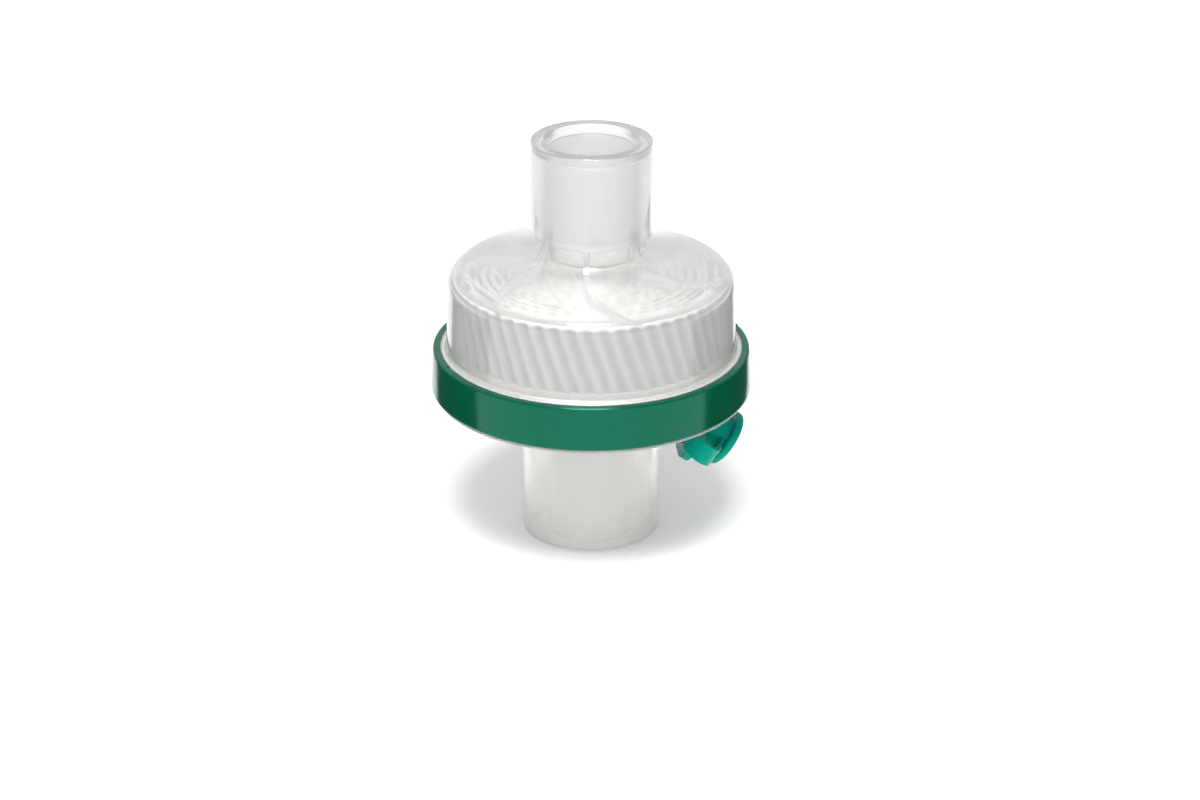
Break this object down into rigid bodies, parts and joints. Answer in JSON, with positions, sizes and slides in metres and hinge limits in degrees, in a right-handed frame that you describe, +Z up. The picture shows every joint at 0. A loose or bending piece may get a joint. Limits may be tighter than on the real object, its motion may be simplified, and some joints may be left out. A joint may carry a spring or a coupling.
{
  "type": "breathing circuit filter",
  "caption": "Heat and moisture exchanging breathing filter with a clear dome, coaxial tapered connectors, a green joint ring and a capped sampling port.",
  "frame": {"origin": "on the filter's axis, at the lower rim of the machine connector, which the filter stands on", "axes": "+Z up along the filter's axis to the patient connector, +X towards the capped sampling port, front at -Y"},
  "size_m": [0.0592, 0.0592, 0.0765],
  "materials": {
    "clear_shell": "clear glossy moulded plastic",
    "ring_plastic": "glossy green moulded plastic",
    "paper": "off-white corrugated paper",
    "felt": "off-white felted fibre",
    "cap_plastic": "soft teal moulded plastic"
  },
  "bodies": {
    "filter": {"top_housing": "clear_shell", "bottom_housing": "clear_shell", "colour_ring": "ring_plastic", "exchanger_roll": "paper", "filter_pad": "felt", "cap_strap": "cap_plastic"},
    "cap": {"luer_cap": "cap_plastic"}
  },
  "joints": [
    {"name": "cap_pull", "type": "slide", "parent": "filter", "child": "cap", "axis": [0.811, 0.071, -0.5807], "range_m": [0, 0.006], "deforming": ["cap_strap"]}
  ]
}
